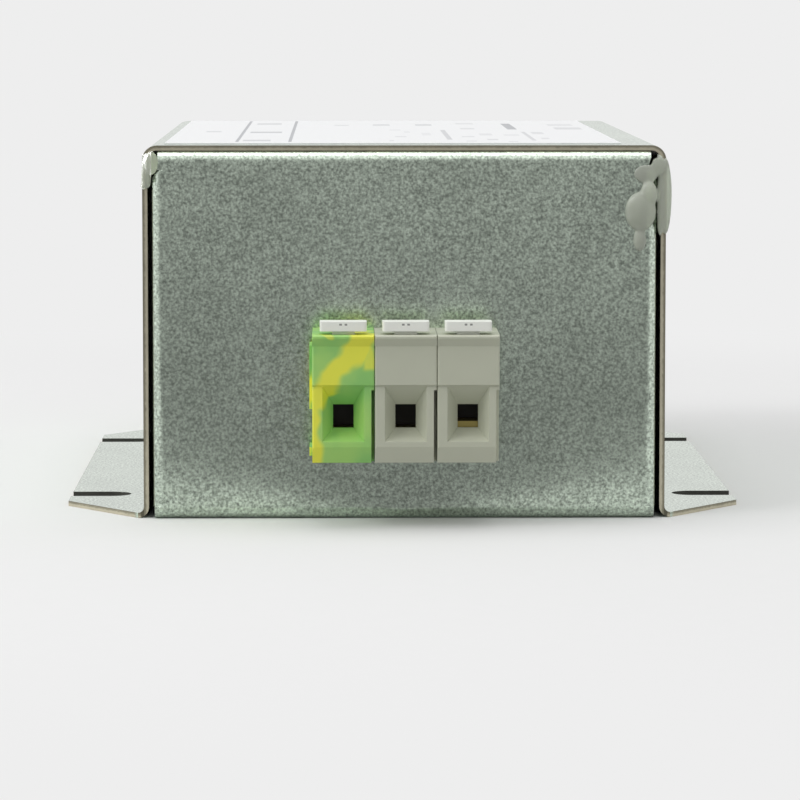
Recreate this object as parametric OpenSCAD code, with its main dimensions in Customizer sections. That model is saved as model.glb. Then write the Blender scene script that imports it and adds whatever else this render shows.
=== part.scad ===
// Single-phase EMI line filter in a folded, zinc-coated steel case.
// A base tray with two upturned end panels carries everything; a hat-section cover closes it and
// ends in two slotted mounting flanges. Three feed-through terminals stand out of each end panel.
// X is across the case, Y runs from the line end (-Y) to the load end (+Y), Z is up.
// The origin is on the mounting plane, midway between the ends and between the flanges.

/* [Case] */
// Outside width of the cover, over its two walls
body_w = 70; // [62:1:90]
// Outside length of the case
body_l = 120; // [118:1:160]
// Outside height of the case above the mounting plane
body_h = 50; // [46:1:70]
// Thickness of the cover's and the tray's sheet
sheet_t = 0.7; // [0.6:0.1:1]
// Inside radius of the tray's bends and of the cover's flange bends
bend_r = 0.8; // [0.5:0.1:1.2]
// Inside radius of the cover's two top bends
cover_bend_r = 1.3; // [1:0.1:2]
// Gap on each side between the tray's flanges and the cover's walls
wall_gap = 0.5; // [0.2:0.1:0.8]
// Depth of the end panels' side flanges
side_flange_l = 12; // [8:1:16]
// Depth of the end panels' top flanges
top_flange_l = 10; // [8:1:14]

/* [Mounting flanges] */
// Reach of each flange from the cover's wall
flange_w = 11; // [9:0.5:16]
// Length along the case over which a flange's corner is cut away
flange_taper_l = 14; // [8:1:20]
// Width of the open mounting slots
slot_w = 5.3; // [4.3:0.1:6.4]
// Distance between the two slots of a flange
slot_pitch = 73; // [50:1:80]
// Distance from the cover's wall to the centre of a slot's round end
slot_seat = 5.4; // [5:0.1:6.5]

/* [Terminals] */
// Distance from one terminal to the next
pole_pitch = 8.2; // [8:0.1:9.5]
// Height of the terminal blocks
block_h = 16.9; // [16.5:0.1:18]
// Height of the blocks' underside above the mounting plane
block_z = 8.8; // [7:0.1:14]
// How far the blocks stand out of the end panels
block_depth = 13; // [12.6:0.1:16]
// Width of the slit between the lower parts of two blocks
slit_w = 0.4; // [0.2:0.05:0.5]
// Width of the square wire entry
entry_w = 2.7; // [2.4:0.1:3.1]
// Height of the square wire entry
entry_h = 3.1; // [2.6:0.1:3.2]
// Width of the funnel's mouth
funnel_w = 5.5; // [4.6:0.1:5.8]
// Height of the funnel's mouth
funnel_h = 7.3; // [6.6:0.1:7.4]
// Width of the white marker tags
marker_w = 6.15; // [5:0.05:7]

/* [Clamps] */
// Outside width of a clamp cage
cage_w = 4.6; // [4.4:0.1:5]
// Length of a clamp cage along the wire
cage_l = 5; // [4.4:0.1:5.2]
// Height that a clamp cage can rise
cage_lift = 3; // [2:0.1:3.1]
// How far the live terminal's cage stands raised
live_cage_raised = 0.9; // [0:0.1:1.5]
// Nominal diameter of the clamp screws
screw_d = 3; // [2.5:0.1:3]
// Head diameter of the clamp screws
screw_head_d = 4.4; // [4:0.1:4.6]
// Thickness of the current bars
bar_t = 1.1; // [0.8:0.1:1.2]

/* [Filter circuit] */
// Gap between the circuit board and the lined wall on each side
board_side_gap = 2.4; // [1:0.1:4]
// Distance from an end panel's outer face to the circuit board's end
board_end_gap = 16; // [15:0.5:17]
// Height of the board's spacers
spacer_h = 5; // [4:0.5:8]
// Outside diameter of the choke's core
core_od = 38; // [36:0.5:40]
// Inside diameter of the choke's core
core_id = 22; // [20:0.5:24]
// Height of the choke's core
core_h = 16; // [10:0.5:18]
// Diameter of the choke's enamelled wire
coil_wire_d = 1.8; // [1.2:0.1:2]
// Turns in each of the choke's two windings
coil_turns = 9; // [6:1:9]
// Width of the two box capacitors across the lines
x_cap_w = 26.5; // [20:0.5:31]
// Thickness of the two box capacitors across the lines
x_cap_t = 11; // [8:0.5:12]
// Height of the two box capacitors across the lines
x_cap_h = 20; // [15:0.5:24]
// Outside diameter of the insulated hook-up wires
wire_d = 2.6; // [2:0.1:3]

/* [Hidden] */
$fn = 48;
FINE = 0.05;      // clearance between pieces that seat on each other
CUT = 1;          // how far a cutting shape runs past the face that it cuts
LINE = -1;        // the end towards -Y
LOAD = 1;         // the end towards +Y
PE = 0;
N = 1;
L = 2;
POLE_NAMES = ["pe", "n", "l"];
END_NAMES = ["line", "load"];

zinc = [0.62, 0.66, 0.65];
grey_plastic = [0.78, 0.79, 0.73];
pe_green = [0.62, 0.82, 0.36];
white_plastic = [0.97, 0.98, 0.95];
tinned = [0.78, 0.78, 0.76];
brass = [0.74, 0.62, 0.34];
copper = [0.72, 0.38, 0.2];
board_green = [0.16, 0.36, 0.22];
black_plastic = [0.12, 0.12, 0.13];

bend_or = bend_r + sheet_t;
cover_bend_or = cover_bend_r + sheet_t;
panel_y = body_l / 2;                          // outer face of the end panels
cover_end_gap = 1.2;                           // the cover stops this short of the panels' faces
tray_w = body_w - 2 * sheet_t - 2 * wall_gap;  // over the tray's side flanges
tray_top = body_h - sheet_t - FINE;            // top of the tray's top flanges
base_w = tray_w - 0.6;                         // the base plate, clear of the cover's flange bends
top_flange_w = body_w - 2 * cover_bend_or - 0.2;
side_flange_z = bend_or + 0.1;
side_flange_top = tray_top - 2.5;
side_flange_chamfer = [4, 6];                  // length along Y and height of the flange's cut top corner

// Terminal block, measured outwards from the panel's face and upwards from the mounting plane
pole_gap = 0.05;
block_w = pole_pitch - pole_gap;
block_top = block_z + block_h;
lip_h = 1.5;                                   // the flared lip along the block's top edge
lip_out = 0.6;
face_y = block_depth - lip_out;                // the block's front face
lower_face_y = face_y - 0.3;
face_step_z = block_z + 10.1;                  // where the lower face steps back
foot_chamfer = [0.5, 2.1];
edge_r = 0.25;                                 // rounding of the block's upright edges
rib_out = 0.4;                                 // ribs on one side, which seat in the next block's recesses
ribs_z = [[block_z + 0.6, block_z + 1.7], [block_z + 6.8, block_top - 1.7]];
rib_y = [2, 8.6];
slit_l = 2.4;                                  // how far the slit reaches behind the lower face
recess_extra = 0.1;
entry_z = block_z + 4.4;                       // lower edge of the square wire entry
funnel_z = block_z + 2.8;                      // lower edge of the funnel's mouth
clamp_y = 6;                                   // axis of the clamp screw
chamber_w = cage_w + 0.2;
chamber_y = clamp_y + cage_l / 2 + 0.2;        // front wall of the clamp chamber
cage_floor_t = 0.8;
cage_roof_t = 2.2;
bar_z = entry_z + entry_h + 0.05;              // underside of the current bar
cage_floor_z = entry_z - 0.1 - cage_floor_t;   // underside of a cage that is fully open
cage_roof_z = bar_z + bar_t + 0.15;
cage_h = cage_roof_z + cage_roof_t - cage_floor_z;
cage_wall_t = (cage_w - cage_window_w()) / 2;
function cage_window_w() = entry_w + 0.6;
chamber_z = cage_floor_z - 0.1;
chamber_top = cage_floor_z + cage_h + cage_lift + 0.1;
neck_wall = 0.7;
neck_w = chamber_w + 2 * neck_wall;
neck_z = chamber_z - neck_wall;
neck_top = chamber_top + neck_wall;
neck_in = sheet_t + 1.1;                       // how far the neck reaches behind the panel's face
nose = [3, 0.8, 0.35];                         // snap nose on the neck: width, length, height
screw_head_h = 1.7;
screw_head_z = chamber_top + 0.05;
shaft_d = screw_head_d + 0.2;
shaft_top = screw_head_z + screw_head_h + 0.15;
mouth_d = screw_head_d - 0.2;
marker_l = 3.8;
marker_y = block_depth - 4.3;
marker_t = 1.25;
marker_r = 0.4;                                // rounding of the tag's upright edges
marker_lift = 0.45;
marker_foot = [3, 2, 1.6];

// Inner frame behind each panel
frame_y = sheet_t + FINE;                      // distance behind the panel's outer face
frame_t = 3.2;
frame_w = 3 * pole_pitch + 0.6;
frame_z = neck_z - 1.6;
frame_top = neck_top + 1.6;
tongue_l = clamp_y - cage_l / 2 - 0.15;        // the tongues reach this far outside the panel's face

// Current bar
bar_front = chamber_y - FINE;
bar_narrow_w = cage_window_w() - 0.2;
bar_wide_w = chamber_w - 0.2;
bar_stop_w = bar_wide_w + 1.4;
bar_stop_l = 1;
tab_end = 12;                                  // how far the solder tab reaches behind the panel's face
tab_hole_d = 1.4;

// Board and what stands on it
liner_t = 0.4;
liner_w = tray_w - 2 * sheet_t - 0.6;
board_w = liner_w - 2 * (liner_t + board_side_gap);
board_l = body_l - 2 * board_end_gap;
liner_l = board_l + 4;
liner_h = body_h - 10;
spacer_z = sheet_t + liner_t;
board_z = spacer_z + spacer_h;
board_t = 1.6;
board_top = board_z + board_t;
stud_d = 3;
stud_x = board_w / 2 - 4.5;
stud_y = board_l / 2 - 5;
board_nut_h = 2.4;
pe_stud_d = 4;
pe_stud_x = -22;
pe_stud_y = panel_y - 8;
pe_nut_h = 3.2;
lug_t = 0.8;
lug_r = 3.9;
lug_barrel_x = 5;
lug_barrel_l = 4.6;
lug_barrel_d = wire_d + 1.2;
lug_barrel_z = sheet_t + lug_barrel_d / 2 + 0.1;

carrier_t = 2;
carrier_w = 4;
coil_gap = 0.15;                               // enamel clearance between the core and the wire
coil_r = core_od / 2 + coil_wire_d + coil_gap; // outside of the windings
carrier_l = 2 * coil_r + 0.1;
core_z = board_top + carrier_t + coil_wire_d + 2 * coil_gap;
coil_span = 142;                               // degrees of the core that one winding covers
part_gap = 0.4;                                // least gap between the parts on the board
resistor_d = 3.6;
resistor_l = 10;
resistor_y = -(carrier_l / 2 + part_gap + resistor_d / 2);
x_cap_y = -resistor_y + resistor_d / 2 + part_gap + x_cap_t / 2;
foot_y = x_cap_y + (x_cap_t + wire_d) / 2 + 1;            // where the hook-up wires reach the board
y_cap = [13, 5, 11];                           // length, thickness and height
y_cap_x = (x_cap_w + y_cap[0]) / 2 + part_gap;
y_cap_y = y_cap[1] / 2 + sqrt(max(0, pow(coil_r + part_gap, 2) - pow(y_cap_x - y_cap[0] / 2, 2)));

label_w = 61.5;
label_x = -1.45;
label_l = body_l - 12;
label_t = 0.15;

pole_nodes = [for (e = END_NAMES) for (p = POLE_NAMES) for (piece =
    ["housing", "marker", "clamp_cage", "clamp_screw", "current_bar"]) str(e, "_", p, "_", piece)];

// ---- helpers ----

function pole_x(pole) = (pole - 1) * pole_pitch;

// Puts a shape that is drawn outwards along +Y onto an end panel, at a pole
module at_pole(end, pole = N) {
    translate([pole_x(pole), end * panel_y, 0]) rotate([0, 0, end == LINE ? 180 : 0]) children();
}

// A box centred on X, from one corner value to the other along Y and Z
module centred_box(w, y, z) {
    translate([-w / 2, y[0], z[0]]) cube([w, y[1] - y[0], z[1] - z[0]]);
}

// Quarter ring of a bend, in the quadrant where both coordinates are positive
module bend_2d(inner, outer) {
    difference() {
        intersection() {
            circle(r = outer);
            square(outer);
        }
        circle(r = inner);
    }
}

// Extrudes a profile drawn in YZ along X, centred
module along_x(w) {
    translate([-w / 2, 0, 0]) rotate([90, 0, 90]) linear_extrude(w) children();
}

// Tube swept along points: a closed polyhedron of 8 sides with flat ends
TUBE_SIDES = 8;
function unit(v) = v / norm(v);
function tangent(p, i) = unit(p[min(i + 1, len(p) - 1)] - p[max(i - 1, 0)]);
function square_to(v, t) = unit(v - (v * t) * t);
// Carries the side direction from ring to ring, so that the tube doesn't twist
function carried(p, first) = [for (i = 0, v = square_to(first, tangent(p, 0)); i < len(p);
    i = i + 1, v = i < len(p) ? square_to(v, tangent(p, i)) : v) v];
function ring(c, t, u, r) = [for (k = [0:TUBE_SIDES - 1])
    let (a = 360 * k / TUBE_SIDES) c + r * (cos(a) * u + sin(a) * cross(t, u))];

module tube(points, d, first) {
    sides = carried(points, first);
    count = len(points);
    rings = [for (i = [0:count - 1]) each ring(points[i], tangent(points, i), sides[i], d / 2)];
    walls = [for (i = [0:count - 2]) for (k = [0:TUBE_SIDES - 1])
        let (a = i * TUBE_SIDES + k, b = i * TUBE_SIDES + (k + 1) % TUBE_SIDES)
        [a, a + TUBE_SIDES, b + TUBE_SIDES, b]];
    start = [for (k = [0:TUBE_SIDES - 1]) k];
    finish = [for (k = [TUBE_SIDES - 1:-1:0]) (count - 1) * TUBE_SIDES + k];
    polyhedron(points = rings, faces = concat([start], walls, [finish]), convexity = 10);
}

// Smooth curve through a few route points (Catmull-Rom), with a number of steps to each stretch
function curve_point(a, b, c, d, t) = 0.5 * (2 * b + (c - a) * t + (2 * a - 5 * b + 4 * c - d) * t * t
    + (3 * b - a - 3 * c + d) * t * t * t);
function curve(route, steps) = let (p = concat([2 * route[0] - route[1]], route,
    [2 * route[len(route) - 1] - route[len(route) - 2]]))
    concat([for (i = [1:len(p) - 3]) for (s = [0:steps - 1])
        curve_point(p[i - 1], p[i], p[i + 1], p[i + 2], s / steps)], [route[len(route) - 1]]);

// ---- case ----

// Base, end panels and top flanges, folded from one sheet: the section along the case
module tray_section() {
    base_half = panel_y - bend_or;
    translate([-base_half, 0]) square([2 * base_half, sheet_t]);
    for (side = [-1, 1]) mirror([side < 0 ? 1 : 0, 0]) {
        translate([base_half, bend_or]) mirror([0, 1]) bend_2d(bend_r, bend_or);
        translate([panel_y - sheet_t, bend_or]) square([sheet_t, tray_top - 2 * bend_or]);
        translate([base_half, tray_top - bend_or]) bend_2d(bend_r, bend_or);
        translate([panel_y - top_flange_l, tray_top - sheet_t])
            square([top_flange_l - bend_or, sheet_t]);
    }
}

// One side flange of an end panel with its bend, drawn outwards along +Y at the +X side
module tray_side_flange() {
    difference() {
        translate([0, 0, side_flange_z]) linear_extrude(side_flange_top - side_flange_z) {
            translate([tray_w / 2 - bend_or, -bend_or]) bend_2d(bend_r, bend_or);
            translate([tray_w / 2 - sheet_t, -side_flange_l])
                square([sheet_t, side_flange_l - bend_or]);
        }
        translate([tray_w / 2 - bend_or - CUT, 0, side_flange_top]) rotate([90, 0, 90])
            linear_extrude(bend_or + 2 * CUT) polygon([
                [CUT, CUT], [0, 0], [-side_flange_chamfer[0], -side_flange_chamfer[1]],
                [-side_flange_l - CUT, -side_flange_chamfer[1]], [-side_flange_l - CUT, CUT]]);
    }
}

module base_tray() {
    flat_half = tray_w / 2 - bend_or;
    color(zinc) difference() {
        union() {
            difference() {
                along_x(base_w) tray_section();
                // the end panels' edges, which the side flanges continue
                for (side = [-1, 1]) for (end = [-1, 1])
                    translate([side < 0 ? -base_w / 2 - CUT : flat_half,
                        end < 0 ? -panel_y - CUT : panel_y - bend_or, side_flange_z])
                        cube([base_w / 2 + CUT - flat_half, bend_or + CUT,
                            side_flange_top - side_flange_z]);
                // corner reliefs beside the top flanges
                for (side = [-1, 1]) for (end = [-1, 1])
                    translate([side < 0 ? -base_w / 2 - CUT : top_flange_w / 2,
                        end < 0 ? -panel_y - CUT : panel_y - top_flange_l - CUT, side_flange_top])
                        cube([(base_w - top_flange_w) / 2 + CUT, top_flange_l + 2 * CUT, body_h]);
            }
            for (end = [LINE, LOAD]) for (side = [0, 1])
                at_end(end) mirror([side, 0, 0]) tray_side_flange();
        }
        for (end = [LINE, LOAD]) for (pole = [PE, N, L])
            at_pole(end, pole) centred_box(neck_w + 2 * FINE, [-sheet_t - CUT, CUT],
                [neck_z - FINE, neck_top + FINE]);
    }
}

module at_end(end) {
    translate([0, end * panel_y, 0]) rotate([0, 0, end == LINE ? 180 : 0]) children();
}

// Half of the hat section: top, wall, bend and flange
module cover_half_section() {
    wall_x = body_w / 2;
    translate([0, body_h - sheet_t]) square([wall_x - cover_bend_or, sheet_t]);
    translate([wall_x - cover_bend_or, body_h - cover_bend_or]) bend_2d(cover_bend_r, cover_bend_or);
    translate([wall_x - sheet_t, bend_or]) square([sheet_t, body_h - cover_bend_or - bend_or]);
    translate([wall_x + bend_r, bend_or]) rotate(180) bend_2d(bend_r, bend_or);
    translate([wall_x + bend_r, 0]) square([flange_w - bend_r, sheet_t]);
}

// Cut through a flange: the open slot with its round seat
module mounting_slot() {
    seat_x = body_w / 2 + slot_seat;
    translate([seat_x, 0, -CUT]) {
        cylinder(d = slot_w, h = sheet_t + 2 * CUT);
        translate([0, -slot_w / 2, 0]) cube([flange_w - slot_seat + CUT, slot_w, sheet_t + 2 * CUT]);
    }
}

module cover() {
    cover_l = body_l - 2 * cover_end_gap;
    root_x = body_w / 2 + bend_r;
    edge_x = body_w / 2 + flange_w;
    color(zinc) difference() {
        translate([0, cover_l / 2, 0]) rotate([90, 0, 0]) linear_extrude(cover_l)
            for (side = [0, 1]) mirror([side, 0]) cover_half_section();
        for (side = [0, 1]) mirror([side, 0, 0]) {
            for (y = [-1, 1]) {
                translate([0, y * slot_pitch / 2, 0]) mounting_slot();
                // cut-away corner of the flange
                mirror([0, y < 0 ? 1 : 0, 0]) translate([0, 0, -CUT]) linear_extrude(sheet_t + 2 * CUT)
                    polygon([[root_x, cover_l / 2], [edge_x, cover_l / 2 - flange_taper_l],
                        [edge_x + CUT, cover_l / 2 - flange_taper_l],
                        [edge_x + CUT, cover_l / 2 + CUT], [root_x, cover_l / 2 + CUT]]);
            }
        }
    }
}

module rating_label() {
    color(white_plastic) translate([label_x - label_w / 2, -label_l / 2, body_h])
        cube([label_w, label_l, label_t]);
}

// Hot-melt bead over the seam at the cover's upper corner, at the line end: each row is a lump of it,
// its place inwards from the wall, behind the panel's face and below the case's top, and its radii
bead_lumps = [[3.7, 0, 9, [1.9, 1.1, 2.3]], [3.6, 0, 13.2, [1, 0.7, 1]],
    [0.4, 0.5, 4.6, [1.1, 1.1, 1.1]], [0.2, 0.5, 11, [1, 1.1, 1]]];
module sealant_bead() {
    wall_x = body_w / 2;
    color([0.86, 0.88, 0.82, 0.8]) difference() {
        hull() for (lump = bead_lumps)
            translate([wall_x - lump[0], -panel_y + lump[1], body_h - lump[2]])
                scale(lump[3]) sphere(r = 1, $fn = 24);
        translate([-wall_x, -panel_y, 0]) cube([2 * wall_x, body_l, body_h]);
    }
}

// ---- terminals ----

// Side view of a terminal block, from the panel's face outwards
module block_section() {
    polygon([[0, block_z], [lower_face_y - foot_chamfer[0], block_z],
        [lower_face_y, block_z + foot_chamfer[1]], [lower_face_y, face_step_z],
        [face_y, face_step_z + 0.2], [face_y, block_top - lip_h],
        [block_depth, block_top - 0.45], [block_depth, block_top - 0.2],
        [block_depth - 0.2, block_top], [0, block_top]]);
}

// Cuts that round the block's two upright edges at a face, from one height to another
module upright_edges(y, z) {
    for (side = [0, 1]) mirror([side, 0, 0])
        translate([block_w / 2 - edge_r, y - edge_r, z[0]]) linear_extrude(z[1] - z[0])
            difference() {
                square(edge_r + CUT);
                circle(r = edge_r);
            }
}

// Pyramid-shaped funnel that leads a wire into the square entry
module funnel() {
    hull() {
        centred_box(funnel_w, [lower_face_y, lower_face_y + CUT], [funnel_z, funnel_z + funnel_h]);
        centred_box(entry_w, [chamber_y + 0.5, chamber_y + 0.6], [entry_z, entry_z + entry_h]);
    }
}

module terminal_housing(pole) {
    color(pole == PE ? pe_green : grey_plastic) difference() {
        union() {
            translate([-block_w / 2, 0, 0]) rotate([90, 0, 90]) linear_extrude(block_w) block_section();
            centred_box(neck_w, [-neck_in, CUT], [neck_z, neck_top]);
            for (z = ribs_z) translate([block_w / 2 - CUT, rib_y[0], z[0]])
                cube([CUT + rib_out, rib_y[1] - rib_y[0], z[1] - z[0]]);
            // snap noses that hold the inner frame
            for (z = [neck_z - nose[2], neck_top - CUT])
                centred_box(nose[0], [-neck_in, -neck_in + nose[1]], [z, z + CUT + nose[2]]);
        }
        // clamp chamber, open to the inside of the case
        centred_box(chamber_w, [-neck_in - CUT, chamber_y], [chamber_z, chamber_top]);
        funnel();
        centred_box(entry_w, [chamber_y - CUT, chamber_y + CUT], [entry_z, entry_z + entry_h]);
        // the screw head's seat, and the narrower mouth that keeps the head in
        translate([0, clamp_y, chamber_top - CUT]) cylinder(d = shaft_d, h = shaft_top - chamber_top + CUT);
        translate([0, clamp_y, chamber_top]) cylinder(d = mouth_d, h = block_h);
        // socket of the marker's foot
        centred_box(marker_foot[0] + 2 * FINE,
            [marker_y + marker_l / 2 - marker_foot[1] / 2 - FINE,
                marker_y + marker_l / 2 + marker_foot[1] / 2 + FINE],
            [block_top - marker_foot[2] + marker_lift - FINE, block_top + CUT]);
        upright_edges(lower_face_y, [block_z - CUT, face_step_z]);
        upright_edges(face_y, [face_step_z, block_top - lip_h]);
        upright_edges(block_depth, [block_top - lip_h, block_top + CUT]);
        // recesses for the next block's ribs, and the slit below the step
        for (z = ribs_z) translate([-block_w / 2 - CUT, rib_y[0] - recess_extra, z[0] - recess_extra])
            cube([CUT + rib_out - pole_gap + recess_extra, rib_y[1] - rib_y[0] + 2 * recess_extra,
                z[1] - z[0] + 2 * recess_extra]);
        translate([-block_w / 2 - CUT, lower_face_y - slit_l, block_z - CUT])
            cube([CUT + slit_w, block_depth, face_step_z - block_z - 0.5 + CUT]);
    }
}

// White tag that clips into the top of a block
module marker() {
    foot_y = marker_y + marker_l / 2;
    straight = [marker_w / 2 - marker_r, marker_l / 2 - marker_r];
    color(white_plastic) {
        translate([0, foot_y, block_top + marker_lift]) linear_extrude(marker_t) {
            square([marker_w, 2 * straight[1]], center = true);
            square([2 * straight[0], marker_l], center = true);
            for (x = [-1, 1]) for (y = [-1, 1])
                translate([x * straight[0], y * straight[1]]) circle(r = marker_r);
        }
        centred_box(marker_foot[0], [foot_y - marker_foot[1] / 2, foot_y + marker_foot[1] / 2],
            [block_top + marker_lift - marker_foot[2], block_top + marker_lift + FINE]);
    }
}

// Bent steel sleeve with a tapped roof, which lifts the wire against the current bar
module clamp_cage(raised = 0) {
    window_w = cage_window_w();
    color(brass) translate([0, 0, raised]) difference() {
        centred_box(cage_w, [clamp_y - cage_l / 2, clamp_y + cage_l / 2],
            [cage_floor_z, cage_floor_z + cage_h]);
        centred_box(window_w, [0, block_depth], [cage_floor_z + cage_floor_t, cage_roof_z]);
        translate([0, clamp_y, cage_roof_z - CUT]) cylinder(d = screw_d, h = cage_h);
    }
}

// Captive slotted screw, its tip on the current bar
module clamp_screw() {
    tip_z = bar_z + bar_t + FINE;
    slot = [0.8, 1];
    color(tinned) translate([0, clamp_y, 0]) difference() {
        union() {
            translate([0, 0, tip_z + 0.4])
                cylinder(d = screw_d - 2 * FINE, h = screw_head_z - tip_z - 0.4 + FINE);
            translate([0, 0, tip_z]) cylinder(d1 = screw_d - 0.9, d2 = screw_d - 2 * FINE, h = 0.4);
            translate([0, 0, screw_head_z]) cylinder(d = screw_head_d, h = screw_head_h);
        }
        translate([-screw_head_d, -slot[0] / 2, screw_head_z + screw_head_h - slot[1]])
            cube([2 * screw_head_d, slot[0], slot[1] + CUT]);
    }
}

// Tinned copper bar from the clamp through the panel to a solder tab
module current_bar() {
    color(tinned) difference() {
        union() {
            centred_box(bar_narrow_w, [0, bar_front], [bar_z, bar_z + bar_t]);
            centred_box(bar_wide_w, [-tab_end, tongue_l], [bar_z, bar_z + bar_t]);
            centred_box(bar_stop_w, [-frame_y - frame_t - FINE - bar_stop_l, -frame_y - frame_t - FINE],
                [bar_z, bar_z + bar_t]);
        }
        translate([0, -tab_end + 2.2, bar_z - CUT]) cylinder(d = tab_hole_d, h = bar_t + 2 * CUT);
    }
}

// Moulded frame that grips the three necks from inside and closes their ducts
module inner_frame() {
    pocket_l = neck_in - frame_y + FINE;
    color(black_plastic) difference() {
        union() {
            centred_box(frame_w, [-frame_y - frame_t, -frame_y], [frame_z, frame_top]);
        }
        for (pole = [PE, N, L]) translate([pole_x(pole), 0, 0]) {
            centred_box(neck_w + 2 * FINE, [-frame_y - pocket_l, 0], [neck_z - FINE, neck_top + FINE]);
            // windows for the snap noses
            centred_box(nose[0] + 4 * FINE, [-frame_y - pocket_l, 0],
                [neck_z - nose[2] - FINE, neck_top + nose[2] + FINE]);
            centred_box(bar_wide_w + 2 * FINE, [-frame_y - frame_t - CUT, 0],
                [bar_z - FINE, bar_z + bar_t + FINE]);
        }
    }
    // tongues that fill the ducts above and below the current bars
    color(black_plastic) for (pole = [PE, N, L]) translate([pole_x(pole), 0, 0])
        for (z = [[chamber_z + FINE, bar_z - FINE], [bar_z + bar_t + FINE, chamber_top - FINE]])
            centred_box(chamber_w - 2 * FINE, [-frame_y - frame_t + CUT, tongue_l], z);
}

// ---- filter circuit ----

// Folded insulating film under the board and up both walls
module insulating_liner() {
    hole_d = stud_d + 0.4;
    color([0.93, 0.9, 0.78]) difference() {
        union() {
            translate([-liner_w / 2 + 1, -liner_l / 2, sheet_t]) cube([liner_w - 2, liner_l, liner_t]);
            for (side = [0, 1]) mirror([side, 0, 0]) {
                translate([liner_w / 2 - 1, liner_l / 2, sheet_t + 1]) rotate([90, 0, 0])
                    linear_extrude(liner_l) mirror([0, 1]) bend_2d(1 - liner_t, 1);
                translate([liner_w / 2 - liner_t, -liner_l / 2, sheet_t + 1])
                    cube([liner_t, liner_l, liner_h]);
            }
        }
        at_board_corners() translate([0, 0, sheet_t - CUT]) cylinder(d = hole_d, h = liner_t + 2 * CUT);
    }
}

module at_board_corners() {
    for (x = [-1, 1]) for (y = [-1, 1]) translate([x * stud_x, y * stud_y, 0]) children();
}

module circuit_board() {
    color(board_green) difference() {
        translate([-board_w / 2, -board_l / 2, board_z]) cube([board_w, board_l, board_t]);
        at_board_corners() translate([0, 0, board_z - CUT])
            cylinder(d = stud_d + 0.3, h = board_t + 2 * CUT);
    }
}

module board_studs() {
    color(tinned) at_board_corners() translate([0, 0, sheet_t])
        cylinder(d = stud_d - 0.1, h = board_top + board_nut_h + 1 - sheet_t);
}

module board_spacers() {
    color(white_plastic) at_board_corners() translate([0, 0, spacer_z]) difference() {
        cylinder(d = 6, h = spacer_h);
        translate([0, 0, -CUT]) cylinder(d = stud_d + 0.2, h = spacer_h + 2 * CUT);
    }
}

module hex_nut(across_flats, bore, h) {
    difference() {
        cylinder(d = across_flats / cos(30), h = h, $fn = 6);
        translate([0, 0, -CUT]) cylinder(d = bore, h = h + 2 * CUT);
    }
}

module board_nuts() {
    color(tinned) at_board_corners() translate([0, 0, board_top]) hex_nut(5.5, stud_d, board_nut_h);
}

module choke_core() {
    edge = 1;
    section = [(core_od - core_id) / 2, core_h];
    color([0.2, 0.32, 0.24]) translate([0, 0, core_z]) rotate_extrude($fn = 96)
        translate([core_id / 2, 0]) polygon([[edge, 0], [section[0] - edge, 0], [section[0], edge],
            [section[0], section[1] - edge], [section[0] - edge, section[1]], [edge, section[1]],
            [0, section[1] - edge], [0, edge]]);
}

// Plastic carrier: a base bar, two pads under the core and the wall that parts the windings
module choke_carrier() {
    wall_t = 1.6;
    pad_l = (core_od - core_id) / 2;
    color(black_plastic) {
        translate([-carrier_w / 2, -carrier_l / 2, board_top]) cube([carrier_w, carrier_l, carrier_t]);
        for (y = [-core_od / 2, core_id / 2]) translate([-carrier_w / 2, y, board_top + carrier_t - FINE])
            cube([carrier_w, pad_l, core_z - board_top - carrier_t]);
        translate([-wall_t / 2, -core_id / 2 + 0.1, board_top + carrier_t - FINE])
            cube([wall_t, core_id - 0.2, core_z + core_h + 2 - board_top - carrier_t]);
    }
}

// Centre line of one turn round the core's section: over the top from the inside, down outside
// and back underneath. Two steps of eight to each corner: its arc, then the straight after it
TURN_STEPS = 16;
function turn_point(share) = let (
        reach = [(core_od - core_id) / 4, core_h / 2] + [1, 1] * (coil_gap + coil_wire_d / 2),
        r = 2.2,
        step = share * 8,
        corner = floor(step / 2),
        part = step - 2 * corner,
        signs = [[-1, 1], [1, 1], [1, -1], [-1, -1], [-1, 1]],
        here = [for (k = [0, 1]) signs[corner][k] * (reach[k] - r)],
        there = [for (k = [0, 1]) signs[corner + 1][k] * (reach[k] - r)],
        angle = 180 - 90 * corner - 90 * min(part, 1))
    here + r * [cos(angle), sin(angle)] + max(part - 1, 0) * (there - here);

// A whole winding: up from the board inside the core, the turns, and down to the board outside it
function winding_points(side) = let (
        steps = (coil_turns + 0.5) * TURN_STEPS,
        on_core = [for (i = [0:steps])
            let (turn = i / TURN_STEPS, p = turn_point(turn - floor(turn)),
                angle = 90 - coil_span / 2 + coil_span * i / steps,
                r = (core_od + core_id) / 4 + p[0])
            [side * r * sin(angle), r * cos(angle), core_z + core_h / 2 + p[1]]],
        start = on_core[0],
        finish = on_core[len(on_core) - 1])
    concat([[start[0], start[1], board_top + FINE]], on_core,
        [[finish[0], finish[1], board_top + FINE]]);

module choke_winding(side) {
    color(copper) tube(winding_points(side), coil_wire_d, [1, 0, 0]);
}

// Box film capacitor with a bevelled top edge
module box_capacitor(w, t, h) {
    edge = 0.8;
    along_x(w) polygon([[-t / 2, 0], [t / 2, 0], [t / 2, h - edge], [t / 2 - edge, h],
        [-t / 2 + edge, h], [-t / 2, h - edge]]);
}

module x_capacitor(end) {
    color([0.85, 0.8, 0.35]) translate([0, end * x_cap_y, board_top]) box_capacitor(x_cap_w, x_cap_t, x_cap_h);
}

module y_capacitor(side) {
    color([0.2, 0.42, 0.72]) translate([side * y_cap_x, y_cap_y, board_top])
        box_capacitor(y_cap[0], y_cap[1], y_cap[2]);
}

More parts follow.
